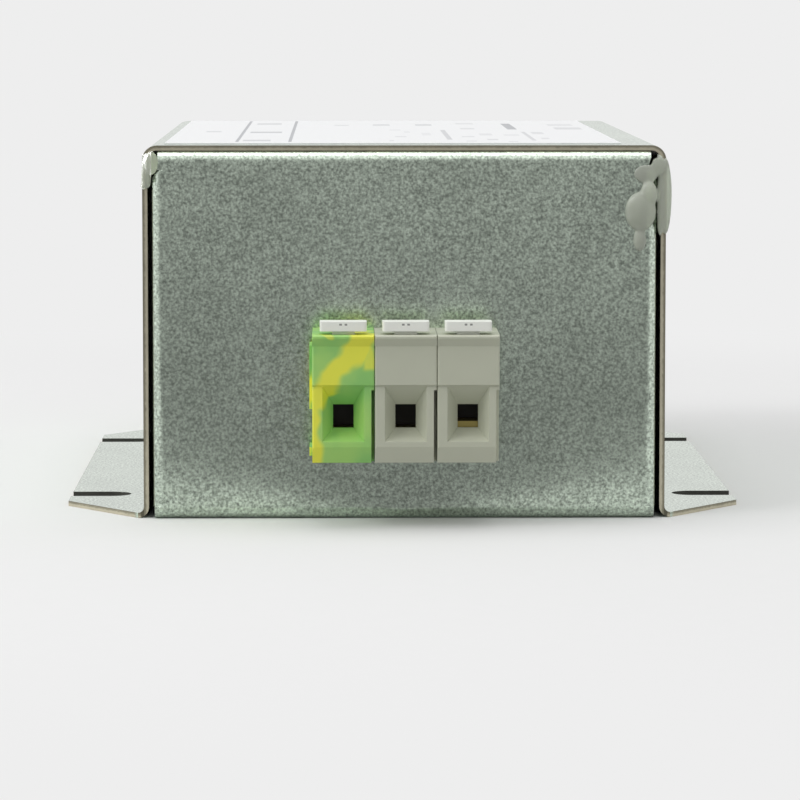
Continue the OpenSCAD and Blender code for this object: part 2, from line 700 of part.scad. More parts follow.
// Axial resistor lying on the board, with its leads bent down
module bleed_resistor() {
    lead_d = 0.8;
    lead_x = resistor_l / 2 + 1.5;
    color([0.8, 0.7, 0.55]) translate([0, resistor_y, board_top + resistor_d / 2 + FINE]) {
        translate([-resistor_l / 2, 0, 0]) rotate([0, 90, 0]) cylinder(d = resistor_d, h = resistor_l);
        translate([-lead_x, 0, 0]) rotate([0, 90, 0]) cylinder(d = lead_d, h = 2 * lead_x);
        for (x = [-1, 1]) translate([x * lead_x, 0, -resistor_d / 2])
            cylinder(d = lead_d, h = resistor_d / 2 + lead_d / 2);
    }
}

// Hook-up wire from a solder tab down to the board
module hookup_wire(end, pole) {
    tab_y = panel_y - tab_end + 2.2;
    top_z = bar_z + bar_t + wire_d / 2 + FINE;
    x = pole_x(pole);
    foot_x = pole == N ? 3 : 13;
    route = [[x, tab_y + 2.5, top_z], [x, tab_y - 0.5, top_z], [(x + foot_x) / 2, tab_y - 5, top_z + 0.4],
        [foot_x, foot_y + 3, top_z - 0.8], [foot_x, foot_y + 0.4, top_z - 4],
        [foot_x, foot_y, board_top + 3], [foot_x, foot_y, board_top + FINE]];
    color(pole == N ? [0.2, 0.45, 0.75] : [0.45, 0.28, 0.18])
        mirror([0, end == LINE ? 1 : 0, 0]) tube(curve(route, 5), wire_d, [1, 0, 0]);
}

// Protective earth wire from its solder tab to the lug on the base
module earth_wire(end) {
    tab_y = panel_y - tab_end + 2.2;
    top_z = bar_z + bar_t + wire_d / 2 + FINE;
    x = pole_x(PE);
    barrel_x = pe_stud_x + lug_barrel_x;
    barrel_end = barrel_x + lug_barrel_l;
    route = [[x, tab_y + 2.5, top_z], [x, tab_y - 0.5, top_z], [x + 0.3, tab_y - 3.6, top_z - 0.6],
        [x + 0.6, tab_y - 5, top_z - 4.5], [x + 0.6, tab_y - 4, 9], [x + 0.4, tab_y - 0.6, 4.8],
        [barrel_end + 2.5, pe_stud_y, lug_barrel_z], [barrel_end + 0.8, pe_stud_y, lug_barrel_z],
        [barrel_x + 1, pe_stud_y, lug_barrel_z]];
    color([0.6, 0.75, 0.2]) mirror([0, end == LINE ? 1 : 0, 0]) tube(curve(route, 5), wire_d, [1, 0, 0]);
}

module at_earth_studs() {
    for (y = [-1, 1]) translate([pe_stud_x, y * pe_stud_y, 0]) children();
}

module pe_studs() {
    color(tinned) at_earth_studs() translate([0, 0, sheet_t]) cylinder(d = pe_stud_d - 0.1, h = 8);
}

module pe_nuts() {
    color(tinned) at_earth_studs() translate([0, 0, sheet_t + lug_t + FINE])
        hex_nut(7, pe_stud_d, pe_nut_h);
}

// Ring lug: an eye on the stud and a crimped barrel towards the wire
module pe_lugs() {
    color(tinned) at_earth_studs() difference() {
        union() {
            translate([0, 0, sheet_t]) cylinder(r = lug_r, h = lug_t);
            translate([0, -1.6, sheet_t]) cube([lug_barrel_x + 1, 3.2, lug_t]);
            translate([lug_barrel_x, 0, lug_barrel_z]) rotate([0, 90, 0])
                cylinder(d = lug_barrel_d, h = lug_barrel_l);
        }
        translate([0, 0, sheet_t - CUT]) cylinder(d = pe_stud_d + 0.3, h = lug_t + 2 * CUT);
        translate([lug_barrel_x + 0.6, 0, lug_barrel_z]) rotate([0, 90, 0])
            cylinder(d = wire_d + 2 * FINE, h = lug_barrel_l);
    }
}

// ---- output ----

for (e = [0, 1]) for (pole = [PE, N, L]) {
    end = e == 0 ? LINE : LOAD;
    stem = str(END_NAMES[e], "_", POLE_NAMES[pole], "_");
    at_pole(end, pole) terminal_housing(pole);
    at_pole(end, pole) marker();
    at_pole(end, pole) clamp_cage(end == LINE && pole == L ? live_cage_raised : 0);
    at_pole(end, pole) clamp_screw();
    at_pole(end, pole) current_bar();
}
base_tray();
cover();
rating_label();
sealant_bead();
at_end(LINE) inner_frame();  // line_inner_frame
at_end(LOAD) inner_frame();  // load_inner_frame
insulating_liner();
circuit_board();
board_studs();
board_spacers();
board_nuts();
choke_core();
choke_carrier();
choke_winding(1);  // choke_winding_l
choke_winding(-1);  // choke_winding_n
x_capacitor(LINE);  // line_x_capacitor
x_capacitor(LOAD);  // load_x_capacitor
y_capacitor(1);  // y_capacitor_l
y_capacitor(-1);  // y_capacitor_n
bleed_resistor();
earth_wire(LINE);  // line_pe_wire
hookup_wire(LINE, N);  // line_n_wire
hookup_wire(LINE, L);  // line_l_wire
earth_wire(LOAD);  // load_pe_wire
hookup_wire(LOAD, N);  // load_n_wire
hookup_wire(LOAD, L);  // load_l_wire
pe_studs();
pe_nuts();
pe_lugs();
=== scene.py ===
"""Finish and studio for a single-phase EMI line filter in a folded, zinc-coated steel case."""

import math

import bmesh
import bpy
from bpy.props import FloatProperty, FloatVectorProperty, PointerProperty
from bpy.types import Operator, Panel, PropertyGroup
from mathutils import Matrix, Vector


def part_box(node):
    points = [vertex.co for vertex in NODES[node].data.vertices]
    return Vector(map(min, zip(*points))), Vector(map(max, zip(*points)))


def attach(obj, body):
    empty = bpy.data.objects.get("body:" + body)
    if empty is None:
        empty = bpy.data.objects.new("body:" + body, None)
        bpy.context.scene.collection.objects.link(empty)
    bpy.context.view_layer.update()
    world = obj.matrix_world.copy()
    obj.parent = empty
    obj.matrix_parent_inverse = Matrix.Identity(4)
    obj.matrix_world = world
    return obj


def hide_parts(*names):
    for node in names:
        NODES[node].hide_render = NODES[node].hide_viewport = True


bl_info = {
    "name": "EMI line filter",
    "version": (1, 0, 0),
    "blender": (4, 5, 0),
    "location": "View3D > Sidebar > Line filter",
    "description": "Finishes a cased line filter and sets up its studio",
    "category": "Object",
}

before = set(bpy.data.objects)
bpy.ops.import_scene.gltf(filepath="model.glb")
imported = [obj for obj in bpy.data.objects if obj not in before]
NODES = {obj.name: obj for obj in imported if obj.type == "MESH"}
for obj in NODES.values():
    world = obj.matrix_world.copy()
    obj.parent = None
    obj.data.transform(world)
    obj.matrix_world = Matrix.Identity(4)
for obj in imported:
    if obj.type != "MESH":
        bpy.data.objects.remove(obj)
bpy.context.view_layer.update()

MM = 0.001
ENDS = ("line", "load")
POLES = ("pe", "n", "l")

# the case, as the frame has it
PANEL_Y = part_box("base_tray")[1].y
COVER_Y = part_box("cover")[1].y
CASE_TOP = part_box("rating_label")[0].z
SHEET = 0.7 * MM
WALL_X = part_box("base_tray")[1].x + 0.5 * MM + SHEET  # outside of the cover's walls
COVER_BEND = 2.0 * MM  # outside radius of the cover's upper bends
SLOT_Y = 36.5 * MM  # middle of the mounting slots
SLOT_HALF = 2.65 * MM


# ---- colours and nodes ----


def linear(hex_colour):
    """Linear RGBA of an sRGB hex colour such as "8A908B"."""
    shares = [int(hex_colour[i : i + 2], 16) / 255 for i in (0, 2, 4)]
    return tuple(s / 12.92 if s <= 0.04045 else ((s + 0.055) / 1.055) ** 2.4 for s in shares) + (1.0,)


def scaled(colour, factor):
    """A colour made darker or lighter by a factor, as RGBA."""
    return tuple(min(1.0, c * factor) for c in tuple(colour)[:3]) + (1.0,)


def add_node(tree, kind, inputs=None, **settings):
    """Adds a node with its settings. inputs maps a socket's name or number to its value or its link."""
    node = tree.nodes.new("ShaderNode" + kind)
    for name, value in settings.items():
        setattr(node, name, value)
    for key, value in (inputs or {}).items():
        sockets = [s for s in node.inputs if s.enabled]
        socket = sockets[key] if isinstance(key, int) else next(s for s in sockets if s.name == key)
        if isinstance(value, Field):
            value = value.output
        if isinstance(value, bpy.types.Node):
            value = next(s for s in value.outputs if s.enabled)
        if isinstance(value, bpy.types.NodeSocket):
            tree.links.new(value, socket)
        else:
            socket.default_value = value
    return node


def new_tree(owner):
    """The empty node tree of a material or a world."""
    owner.use_nodes = True
    owner.node_tree.nodes.clear()
    return owner.node_tree


def finished(name, build, *values):
    """A material named for its finish, whose shader node is what build returns."""
    material = bpy.data.materials.new(name)
    tree = new_tree(material)
    add_node(tree, "OutputMaterial", {"Surface": build(tree, *values)})
    return material


# ---- patterns, all on object coordinates ----


class Field:
    """A number that varies over a surface. Sums written with it become Math nodes."""

    def __init__(self, tree, output):
        self.tree = tree
        self.output = output

    def worked(self, operation, *others):
        values = dict(enumerate((self, *others)))
        return Field(self.tree, add_node(self.tree, "Math", values, operation=operation))

    def __add__(self, other):
        return self.worked("ADD", other)

    def __sub__(self, other):
        return self.worked("SUBTRACT", other)

    def __mul__(self, other):
        return self.worked("MULTIPLY", other)

    def __abs__(self):
        return self.worked("ABSOLUTE")

    def most(self, other):
        return self.worked("MAXIMUM", other)

    def least(self, other):
        return self.worked("MINIMUM", other)

    def near(self, middle, reach):
        """1 where the field is within reach of middle, 0 elsewhere."""
        return self.worked("COMPARE", middle, reach)

    def step(self, start, end, low=0.0, high=1.0):
        """Goes smoothly from low to high as the field goes from start to end."""
        inputs = {"Value": self, "From Min": start, "From Max": end, "To Min": low, "To Max": high}
        return Field(self.tree, add_node(self.tree, "MapRange", inputs, interpolation_type="SMOOTHSTEP"))


def place_fields(tree):
    """The surface point's own X, Y and Z, in metres."""
    parts = add_node(tree, "SeparateXYZ", {0: add_node(tree, "TexCoord").outputs["Object"]})
    return [Field(tree, parts.outputs[axis]) for axis in "XYZ"]


def facing(tree, axis):
    """How far the surface faces along an axis, from 0 to 1 either way."""
    parts = add_node(tree, "SeparateXYZ", {0: add_node(tree, "TexCoord").outputs["Normal"]})
    return abs(Field(tree, parts.outputs[axis]))


def mottle(tree, size, detail=2.0, roughness=0.5):
    """Soft mottling from 0 to 1, whose grains are about size metres across."""
    place = add_node(tree, "TexCoord").outputs["Object"]
    inputs = {"Vector": place, "Scale": 1 / size, "Detail": detail, "Roughness": roughness}
    return Field(tree, add_node(tree, "TexNoise", inputs).outputs["Fac"])


def shades(tree, pattern, colour, share):
    """A colour that a pattern makes up to share darker or lighter."""
    inputs = {"Factor": pattern, "A": scaled(colour, 1 - share), "B": scaled(colour, 1 + share)}
    return add_node(tree, "Mix", inputs, data_type="RGBA")


def worn_edges(tree, radius, height=None, depth=0.0):
    """The normal of a surface whose sharp edges are rounded by radius, with a relief of some depth."""
    rounded = add_node(tree, "Bevel", {"Radius": radius}, samples=4)
    if height is None:
        return rounded
    return add_node(tree, "Bump", {"Height": height, "Distance": depth, "Normal": rounded})


# ---- sizes and colours ----


def colour_property(name, hex_colour, description):
    return FloatVectorProperty(
        name=name, description=description, default=linear(hex_colour)[:3], subtype="COLOR", min=0, max=1
    )


def length_property(name, millimetres, description):
    return FloatProperty(name=name, description=description, default=millimetres * MM, unit="LENGTH", min=0)


class FilterFinish(PropertyGroup):
    zinc: colour_property("Zinc", "BCC8BA", "Colour of the zinc coat")
    cut_steel: colour_property("Cut edge", "C9C3AE", "Colour of the bright inner half of a sheared edge")
    cut_burr: colour_property("Edge burr", "96917F", "Colour of the rough outer half of a sheared edge")
    grain: length_property("Grain", 0.36, "Size of the zinc coat's flecks")
    grey_plastic: colour_property("Grey plastic", "CBCEBB", "Colour of the live and neutral blocks")
    earth_green: colour_property("Earth green", "9CDC7C", "Green of the earth block")
    earth_yellow: colour_property("Earth yellow", "F4F652", "Yellow of the earth block")
    marker: colour_property("Marker", "FBFDF6", "Colour of the marker tags")
    label: colour_property("Label", "E9EAEB", "Colour of the rating label")
    ink: colour_property("Label ink", "A2A4A8", "Colour of the label's rules and bars")
    sealant: colour_property("Sealant", "E6EDDC", "Colour of the hot-melt beads")


class FilterStage(PropertyGroup):
    paper: colour_property("Paper", "F0F0F0", "Colour of the floor")
    backdrop: FloatProperty(
        name="Backdrop", description="How bright the backdrop is seen", default=0.855, min=0, max=1
    )
    fill: FloatProperty(
        name="Fill", description="How bright the room lights dull surfaces", default=0.6, min=0, max=1
    )
    camera_lens: FloatProperty(
        name="Lens", description="Focal length on a 36 mm sensor", default=191.1, min=20, max=400
    )
    camera_pitch: FloatProperty(
        name="Pitch", description="How far the camera looks down", default=math.radians(5.35), subtype="ANGLE"
    )
    camera_yaw: FloatProperty(
        name="Yaw",
        description="How far the camera looks to the right",
        default=math.radians(0.83),
        subtype="ANGLE",
    )
    camera_place: FloatVectorProperty(
        name="Place",
        description="Where the camera stands",
        default=(-0.0088, -0.626, 0.069),
        subtype="TRANSLATION",
    )


# ---- materials ----


# the zinc's flecks from dark to light: place on the pattern and share of the coat's colour
ZINC_FLECKS = ((0.28, 0.42), (0.40, 0.74), (0.5, 1.0), (0.62, 1.34), (0.74, 1.6))


def zinc_coat(tree, settings, edges=False):
    """Hot-dip zinc, rolled smooth: a satin grey-green mirror with small dark and light flecks."""
    fine = mottle(tree, settings.grain, detail=2.5, roughness=0.65)
    cloud = mottle(tree, 9 * MM, detail=1.0)
    ramp = add_node(tree, "ValToRGB", {"Fac": fine})
    elements = ramp.color_ramp.elements
    while len(elements) < len(ZINC_FLECKS):
        elements.new(1.0)
    for element, (position, share) in zip(elements, ZINC_FLECKS):
        element.position = position
        element.color = scaled(settings.zinc, share)
    clouded = {"Factor": 1.0, "A": ramp, "B": cloud.step(0.2, 0.8, 0.92, 1.04)}
    colour = add_node(tree, "Mix", clouded, data_type="RGBA", blend_type="MULTIPLY")
    roughness = fine.step(0.3, 0.7, 0.24, 0.17)
    if edges:
        colour, roughness = sheared_edges(tree, settings, colour, roughness)
    inputs = {
        "Base Color": colour,
        "Metallic": 1.0,
        "Roughness": roughness,
        "Normal": worn_edges(tree, 0.13 * MM, fine, 0.0012 * MM),
    }
    return add_node(tree, "BsdfPrincipled", inputs)


def sheared_edges(tree, settings, colour, roughness):
    """Adds the cover's sheared edges to its coat: bright on the inner side, rough and darker outside. The
    walls of the mounting slots get painted shade, a dark grey that stands in for the shade inside them.
    """
    x, y, z = place_fields(tree)
    x, y = abs(x), abs(y)
    # how deep a point of an edge lies below the cover's outer face
    corner_x = (x - (WALL_X - COVER_BEND)).most(0.0)
    corner_z = (z - (CASE_TOP - COVER_BEND)).most(0.0)
    round_corner = (corner_x * corner_x + corner_z * corner_z).worked("SQRT")
    straight = (x - (WALL_X - COVER_BEND)).most(z - (CASE_TOP - COVER_BEND)).least(0.0)
    depth = (round_corner + straight) * -1.0 + COVER_BEND
    on_flange = x.step(WALL_X + 0.2 * MM, WALL_X + 0.5 * MM)
    flange_depth = z * -1.0 + SHEET
    depth = depth * (on_flange * -1.0 + 1.0) + flange_depth * on_flange
    ripple = (mottle(tree, 0.5 * MM, detail=2.0) - 0.5) * (0.3 * MM)
    inner = (depth + ripple).step(0.28 * SHEET, 0.62 * SHEET)
    streak = mottle(tree, 1.6 * MM, detail=3.0)
    bright = shades(tree, streak, settings.cut_steel, 0.16)
    burr = shades(tree, streak, settings.cut_burr, 0.3)
    sheared_through = {"Factor": inner, "A": burr, "B": bright}
    edge_colour = add_node(tree, "Mix", sheared_through, data_type="RGBA")
    dark_rim = {"Factor": 1.0, "A": edge_colour, "B": depth.step(0.0, 0.16 * SHEET, 0.45, 1.0)}
    edge_colour = add_node(tree, "Mix", dark_rim, data_type="RGBA", blend_type="MULTIPLY")
    # painted shade: the cut walls inside the mounting slots are coloured dark grey to stand in for the shade
    # that falls in the slots
    slot_shade_mask = (x - WALL_X).step(1.5 * MM, 2.0 * MM) * (y - SLOT_Y).near(0.0, SLOT_HALF + 0.2 * MM)
    painted_slot_shade = {"Factor": slot_shade_mask, "A": edge_colour, "B": linear("4A4A46")}
    edge_colour = add_node(tree, "Mix", painted_slot_shade, data_type="RGBA")
    upright = facing(tree, "Z").step(0.6, 0.3)
    sheared = facing(tree, "Y").step(0.75, 0.85).most((x - WALL_X).step(0.9 * MM, 1.4 * MM)) * upright
    end_face = facing(tree, "Y").step(0.75, 0.85)
    sheared = sheared.most(end_face)
    coated = {"Factor": sheared, "A": colour, "B": edge_colour}
    return add_node(tree, "Mix", coated, data_type="RGBA"), roughness + sheared * 0.25


def satin_polyamide(tree, colour, roughness=0.42):
    """Polyamide from a polished mould: an even satin plastic with a faint flow mottle and softened edges."""
    flow = mottle(tree, 2.5 * MM, detail=3.0)
    inputs = {
        "Base Color": shades(tree, flow, colour, 0.025),
        "Roughness": flow.step(0.2, 0.8, roughness - 0.04, roughness + 0.06),
        "IOR": 1.53,
        "Subsurface Weight": 0.08,
        "Subsurface Radius": (0.001, 0.001, 0.0008),
        "Subsurface Scale": 0.5,
        "Normal": worn_edges(tree, 0.12 * MM, mottle(tree, 0.15 * MM, detail=1.0), 0.002 * MM),
    }
    return add_node(tree, "BsdfPrincipled", inputs)


def marbled_polyamide(tree, settings, middle_x, front_y):
    """Green and yellow polyamide moulded from mixed granules: a broad yellow swirl, soft at its borders."""
    x, y, z = place_fields(tree)
    behind = abs(y) * -1.0 + front_y
    x = x - middle_x + behind * 0.35 + (mottle(tree, 3.5 * MM, detail=1.5) - 0.5) * (3.2 * MM)
    z = z + (mottle(tree, 3.1 * MM, detail=1.5) - 0.5) * (3.0 * MM)
    swirl = abs(x - z * 0.83 + 17.5 * MM).step(2.5 * MM, 1.3 * MM)
    left_streak = (x * -1.0).step(2.0 * MM, 3.1 * MM) * abs(z - 13.5 * MM).step(6.5 * MM, 4.5 * MM)
    right_patch = abs(x - 3.8 * MM).step(1.3 * MM, 0.5 * MM) * abs(z - 23.2 * MM).step(2.6 * MM, 1.4 * MM)
    speck = abs(x + 2.0 * MM).step(0.9 * MM, 0.3 * MM) * abs(z - 25.2 * MM).step(0.5 * MM, 0.2 * MM)
    yellow = swirl.most(left_streak).most(right_patch * 0.75).most(speck * 0.6)
    cast = mottle(tree, 5 * MM, detail=2.0)
    greens = {"Factor": cast.step(0.35, 0.65), "A": scaled(settings.earth_green, 0.92), "B": linear("AEE07A")}
    green = add_node(tree, "Mix", greens, data_type="RGBA")
    marbling = {"Factor": yellow, "A": green, "B": scaled(settings.earth_yellow, 1)}
    inputs = {
        "Base Color": add_node(tree, "Mix", marbling, data_type="RGBA"),
        "Roughness": cast.step(0.2, 0.8, 0.38, 0.46),
        "IOR": 1.53,
        "Subsurface Weight": 0.15,
        "Subsurface Radius": (0.001, 0.001, 0.0006),
        "Subsurface Scale": 0.8,
        "Normal": worn_edges(tree, 0.12 * MM),
    }
    return add_node(tree, "BsdfPrincipled", inputs)


def printed_tag(tree, settings, middle_x, top_z):
    """White polyamide tag with two small dots of black print along the top of its face."""
    x, _, z = place_fields(tree)
    row = (z - (top_z - 0.35 * MM)).near(0.0, 0.12 * MM)
    left_dot = (x - (middle_x - 0.35 * MM)).near(0.0, 0.17 * MM)
    right_dot = (x - (middle_x + 0.35 * MM)).near(0.0, 0.17 * MM)
    ink = row * left_dot.most(right_dot) * 0.7
    flow = mottle(tree, 2.5 * MM, detail=3.0)
    print_on_tag = {"Factor": ink, "A": shades(tree, flow, settings.marker, 0.01), "B": linear("3A3A3C")}
    inputs = {
        "Base Color": add_node(tree, "Mix", print_on_tag, data_type="RGBA"),
        "Roughness": flow.step(0.2, 0.8, 0.46, 0.54),
        "IOR": 1.53,
        "Normal": worn_edges(tree, 0.15 * MM),
    }
    return add_node(tree, "BsdfPrincipled", inputs)


# places on the label, in millimetres: middle X, middle Y, width and length, and how dark the print is
LABEL_PRINT = (
    (-22.6, 1.0, 0.45, 100.0, 1.0),
    (-15.4, 1.0, 0.45, 100.0, 1.0),
    (29.5, 0.0, 0.3, 106.0, 0.45),
    (-27.0, -3.0, 2.2, 5.0, 0.5),
    (-19.5, 36.0, 3.8, 7.0, 0.55),
    (-19.3, -6.4, 4.6, 6.0, 0.75),
    (-20.0, -43.0, 3.8, 6.0, 0.6),
    (-8.3, 28.4, 2.2, 5.0, 0.35),
    (-2.2, 30.4, 2.6, 7.0, 0.5),
    (-0.4, 4.6, 1.6, 4.0, 0.3),
    (0.0, -26.5, 1.6, 4.0, 0.35),
    (-1.5, -43.9, 0.6, 4.0, 0.4),
    (4.3, 30.3, 2.5, 7.0, 0.6),
    (1.2, -5.2, 0.8, 5.0, 0.3),
    (3.8, -15.0, 1.3, 12.0, 0.2),
    (6.6, -18.0, 0.7, 44.0, 0.6),
    (10.8, 37.3, 2.7, 7.0, 0.3),
    (10.5, 10.9, 2.1, 6.0, 0.4),
    (9.5, -26.6, 1.8, 4.0, 0.4),
    (9.4, -45.7, 1.4, 3.0, 0.5),
    (12.3, -16.7, 1.8, 9.0, 0.3),
    (12.5, -39.4, 1.5, 5.0, 0.45),
    (17.1, 22.0, 1.4, 30.0, 1.0),
    (15.9, -19.5, 2.2, 5.0, 0.3),
    (15.0, -48.3, 1.3, 3.0, 0.4),
    (18.1, -24.0, 0.6, 40.0, 0.5),
    (20.0, -10.2, 1.7, 9.0, 0.4),
    (20.0, -34.3, 1.1, 5.0, 0.4),
    (25.3, 30.0, 3.8, 8.0, 0.35),
    (25.6, 12.0, 4.0, 10.0, 0.45),
)


def printed_label(tree, settings):
    """Satin polyester label with plain grey rules and bars where a rating label has its table."""
    x, y, _ = place_fields(tree)
    ink = None
    for middle_x, middle_y, width, length, strength in LABEL_PRINT:
        across = x.near(middle_x * MM, width / 2 * MM)
        bar = across * y.near(middle_y * MM, length / 2 * MM) * strength
        ink = bar if ink is None else ink.most(bar)
    fibre = mottle(tree, 1.2 * MM, detail=2.0)
    film = shades(tree, fibre, settings.label, 0.012)
    inputs = {
        "Base Color": add_node(
            tree, "Mix", {"Factor": ink, "A": film, "B": scaled(settings.ink, 1)}, data_type="RGBA"
        ),
        "Roughness": fibre.step(0.2, 0.8, 0.38, 0.46),
    }
    return add_node(tree, "BsdfPrincipled", inputs)


def hot_melt(tree, settings):
    """Hot-melt adhesive: a milky, half-clear wax with a wet gloss, through which dark places show grey."""
    cloud = mottle(tree, 1.8 * MM, detail=2.0)
    ripple = mottle(tree, 0.9 * MM, detail=2.0)
    inputs = {
        "Base Color": shades(tree, cloud, settings.sealant, 0.05),
        "Roughness": cloud.step(0.3, 0.7, 0.12, 0.24),
        "IOR": 1.48,
        "Transmission Weight": 0.45,
        "Subsurface Weight": 0.3,
        "Subsurface Radius": (0.001, 0.001, 0.001),
        "Subsurface Scale": 1.0,
        "Normal": add_node(tree, "Bump", {"Height": ripple, "Distance": 0.06 * MM}),
    }
    return add_node(tree, "BsdfPrincipled", inputs)


def plain_plastic(tree, hex_colour, roughness=0.5, grain=1.5):
    """Moulded or coated part with a faint mottle and a fine skin."""
    skin = mottle(tree, grain * MM, detail=3.0)
    inputs = {
        "Base Color": shades(tree, skin, linear(hex_colour), 0.06),
        "Roughness": skin.step(0.2, 0.8, roughness - 0.05, roughness + 0.05),
        "Normal": add_node(tree, "Bump", {"Height": skin, "Distance": 0.004 * MM, "Strength": 0.4}),
    }
    return add_node(tree, "BsdfPrincipled", inputs)


def plain_metal(tree, hex_colour, roughness=0.3, grain=0.4):
    """Plated or enamelled metal with fine handling marks."""
    marks = mottle(tree, grain * MM, detail=4.0)
    inputs = {
        "Base Color": shades(tree, marks, linear(hex_colour), 0.1),
        "Metallic": 1.0,
        "Roughness": marks.step(0.2, 0.8, roughness - 0.06, roughness + 0.1),
        "Normal": add_node(tree, "Bump", {"Height": marks, "Distance": 0.003 * MM, "Strength": 0.5}),
    }
    return add_node(tree, "BsdfPrincipled", inputs)


def striped_insulation(tree, green, yellow):
    """Green PVC insulation with a yellow stripe along its upper side."""
    skin = mottle(tree, 1.0 * MM)
    stripe = facing(tree, "Z").step(0.62, 0.7)
    striping = {"Factor": stripe, "A": shades(tree, skin, linear(green), 0.05), "B": linear(yellow)}
    inputs = {
        "Base Color": add_node(tree, "Mix", striping, data_type="RGBA"),
        "Roughness": skin.step(0.2, 0.8, 0.4, 0.5),
    }
    return add_node(tree, "BsdfPrincipled", inputs)


def wear(material, *names):
    """Gives the named CAD nodes that material alone."""
    for name in names:
        slots = NODES[name].data.materials
        slots.clear()
        slots.append(material)


# ---- new pieces ----


MELT_VOXEL = 0.13 * MM
SMOOTHING_ROUNDS = 10


def melted_bead(name, lumps, material):
    """A hot-melt bead: lumps, each a middle and three radii in millimetres, melted into one skin."""
    bm = bmesh.new()
    for middle, radii in lumps:
        place = Matrix.Translation(Vector(middle) * MM) @ Matrix.Diagonal((*(r * MM for r in radii), 1))
        bmesh.ops.create_icosphere(bm, subdivisions=4, radius=1.0, matrix=place)
    mesh = bpy.data.meshes.new(name + "_lumps")
    bm.to_mesh(mesh)
    bm.free()
    lump = bpy.data.objects.new(name + "_lumps", mesh)
    bpy.context.scene.collection.objects.link(lump)
    melt = lump.modifiers.new("melt", "REMESH")
    melt.mode = "VOXEL"
    melt.voxel_size = MELT_VOXEL
    evaluated = lump.evaluated_get(bpy.context.evaluated_depsgraph_get())
    skin = bpy.data.meshes.new_from_object(evaluated)
    bpy.data.objects.remove(lump)
    bm = bmesh.new()
    bm.from_mesh(skin)
    bpy.data.meshes.remove(skin)
    for _ in range(SMOOTHING_ROUNDS):
        bmesh.ops.smooth_vert(
            bm, verts=bm.verts, factor=0.5, use_axis_x=True, use_axis_y=True, use_axis_z=True
        )
    for vertex in bm.verts:
        vertex.co = pressed_on_case(vertex.co)
    bmesh.ops.recalc_face_normals(bm, faces=bm.faces)
    mesh = bpy.data.meshes.new(name)
    bm.to_mesh(mesh)
    bm.free()
    mesh.shade_smooth()
    mesh.materials.append(material)
    piece = bpy.data.objects.new(name, mesh)
    bpy.context.scene.collection.objects.link(piece)
    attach(piece, "case")
    return piece


def pressed_on_case(point):
    """Moves a bead's point out of the sheets that it sticks to."""
    x = abs(point.x)
    side = 1 if point.x > 0 else -1
    gap_x = WALL_X - SHEET - 0.5 * MM
    if x < gap_x:
        point.y = min(point.y, -PANEL_Y)
    elif x < WALL_X - SHEET:
        point.y = min(point.y, -PANEL_Y + 2.0 * MM)
    elif point.y > -COVER_Y:
        if x < WALL_X - 0.5 * SHEET:
            point.y = -COVER_Y
        else:
            point.x = side * max(x, WALL_X)
    return point


# ---- operators ----


class FILTER_OT_case(Operator):
    """Gives the folded case its zinc coat"""

    bl_idname = "filter.case"
    bl_label = "Case"

    def execute(self, context):
        settings = context.scene.filter_finish
        wear(finished("zinc_coat", zinc_coat, settings), "base_tray")
        wear(finished("zinc_coat_sheared", zinc_coat, settings, True), "cover")
        return {"FINISHED"}


class FILTER_OT_label(Operator):
    """Finishes the rating label and prints plain rules and bars on it"""

    bl_idname = "filter.label"
    bl_label = "Label"

    def execute(self, context):
        wear(finished("polyester_label", printed_label, context.scene.filter_finish), "rating_label")
        return {"FINISHED"}


class FILTER_OT_terminals(Operator):
    """Finishes the terminal blocks, their markers and the frames behind them"""

    bl_idname = "filter.terminals"
    bl_label = "Terminals"

    def execute(self, context):
        settings = context.scene.filter_finish
        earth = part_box("line_pe_housing")
        middle = (earth[0].x + earth[1].x) / 2
        marbled = finished("green_yellow_polyamide", marbled_polyamide, settings, middle, -earth[0].y)
        grey = finished("grey_polyamide", satin_polyamide, settings.grey_plastic)
        # painted shade: the hidden frames behind the wire entries are made near-black so that the entries
        # read dark, standing in for the shade inside the holes
        black = finished("hole_shade_black_polyamide", satin_polyamide, linear("222224"), 0.5)
        for end in ENDS:
            wear(marbled, f"{end}_pe_housing")
            wear(grey, f"{end}_n_housing", f"{end}_l_housing")
            wear(black, f"{end}_inner_frame")
        for pole in POLES:
            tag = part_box(f"line_{pole}_marker")
            middle = (tag[0].x + tag[1].x) / 2
            printed = finished(f"white_polyamide_{pole}", printed_tag, settings, middle, tag[1].z)
            wear(printed, *[f"{end}_{pole}_marker" for end in ENDS])
        return {"FINISHED"}


class FILTER_OT_clamps(Operator):
    """Finishes the clamp cages, their screws and the current bars"""

    bl_idname = "filter.clamps"
    bl_label = "Clamps"

    def execute(self, context):
        cage = finished("passivated_brass", plain_metal, "A89A5E", 0.35)
        screw = finished("zinc_plated_screw", plain_metal, "B9BBB6", 0.3)
        bar = finished("tinned_copper", plain_metal, "BFBDB4", 0.32)
        for end in ENDS:
            for pole in POLES:
                wear(cage, f"{end}_{pole}_clamp_cage")
                wear(screw, f"{end}_{pole}_clamp_screw")
                wear(bar, f"{end}_{pole}_current_bar")
        return {"FINISHED"}


